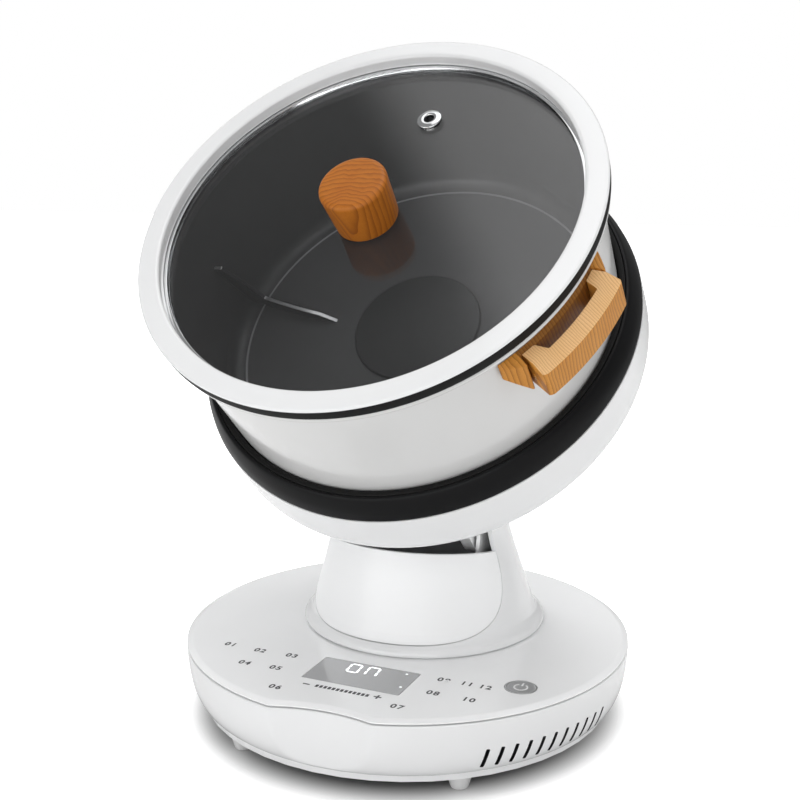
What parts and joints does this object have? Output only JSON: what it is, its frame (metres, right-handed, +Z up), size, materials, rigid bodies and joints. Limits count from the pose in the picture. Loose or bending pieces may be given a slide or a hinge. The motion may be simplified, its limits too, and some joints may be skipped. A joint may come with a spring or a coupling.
{
  "type": "automatic stir fry machine",
  "caption": "Countertop cooker with a round base, a pedestal and a tilting heated holder that turns a lidded pot with wood handles",
  "frame": {"origin": "On the floor under the middle of the machine", "axes": "+Z up, the control panel faces -Y, the power button is on the +X side"},
  "size_m": [0.316, 0.3182, 0.4422],
  "materials": {
    "white_shell": "glossy white moulding",
    "foot": "pale satin",
    "collar": "dark satin",
    "black_part": "black satin",
    "seal": "matt black",
    "display": "smoked gloss",
    "non_stick": "white enamel outside, dark coating inside",
    "steel": "brushed",
    "chrome": "polished",
    "button_metal": "brushed disc",
    "copper": "wound copper wire",
    "circuit": "circuit board with its parts",
    "motor": "grey",
    "wood": "oiled with open grain",
    "glass": "grey tinted tempered"
  },
  "bodies": {
    "base": {"base_cover": "white_shell", "base_housing": "white_shell", "bottom_plate": "white_shell", "foot_1": "foot", "foot_2": "foot", "foot_3": "foot", "foot_4": "foot", "base_screw_1": "steel", "base_screw_2": "steel", "base_screw_3": "steel", "display_window": "display", "control_board": "circuit", "button_board": "circuit", "button_spring": "steel", "power_board": "circuit", "power_inlet": "black_part", "fan_frame": "black_part", "pedestal_shell": "white_shell", "front_panel": "white_shell", "tilt_fork": "steel", "neck_cap": "black_part", "tilt_shaft": "steel", "shaft_clip_right": "steel", "shaft_clip_left": "steel", "friction_washer_right": "black_part", "friction_washer_left": "black_part"},
    "button": {"power_button": "button_metal"},
    "fan": {"fan_wheel": "black_part"},
    "head": {"hinge_arms": "white_shell", "hinge_screw_1": "steel", "hinge_screw_2": "steel", "holder_bowl": "white_shell", "holder_collar": "collar", "pot_seal": "seal", "heater_well": "black_part", "induction_coil": "copper", "coil_carrier": "black_part", "drive_deck": "steel", "spindle_bearing": "steel", "drive_motor": "motor"},
    "pinion": {"motor_pinion": "steel"},
    "drive": {"spindle": "steel", "drive_gear": "white_shell", "drive_coupling": "steel"},
    "pot": {"pot_shell": "non_stick", "hub_cover": "non_stick", "stirring_fin": "non_stick", "drive_socket": "steel", "handle_bracket_right": "wood", "handle_bracket_left": "wood", "handle_grip_right": "wood", "handle_grip_left": "wood"},
    "lid": {"lid_gasket": "seal", "lid_ring": "white_shell", "lid_band": "chrome", "lid_glass": "glass", "lid_knob": "wood", "knob_screw": "steel", "vent_eyelet": "chrome"}
  },
  "joints": [
    {"name": "head_tilt", "type": "hinge", "parent": "base", "child": "head", "pos_m": [0, 0.03109, 0.13], "axis": [1, 0, 0], "range_deg": [-45, 8]},
    {"name": "drive_spin", "type": "hinge", "parent": "head", "child": "drive", "pos_m": [0, 0.04283, 0.24031], "axis": [0, -0.7071, 0.7071], "continuous": true},
    {"name": "pinion_spin", "type": "hinge", "parent": "head", "child": "pinion", "pos_m": [0, 0.06687, 0.26435], "axis": [0, -0.7071, 0.7071], "continuous": true},
    {"name": "pot_lift", "type": "slide", "parent": "drive", "child": "pot", "axis": [0, -0.7071, 0.7071], "range_m": [0, 0.12]},
    {"name": "lid_lift", "type": "slide", "parent": "pot", "child": "lid", "axis": [0, -0.7071, 0.7071], "range_m": [0, 0.1]},
    {"name": "button_press", "type": "slide", "parent": "base", "child": "button", "axis": [0, 0, -1], "range_m": [0, 0.001], "stiffness_N_per_m": 800, "springref_m": -0.0005, "deforming": ["button_spring"]},
    {"name": "fan_spin", "type": "hinge", "parent": "base", "child": "fan", "pos_m": [-0.066, 0.02909, 0.022], "axis": [0, 0, 1], "continuous": true}
  ],
  "couplings": [
    {"joint": "pinion_spin", "follows": "drive_spin", "ratio": -3.25}
  ]
}
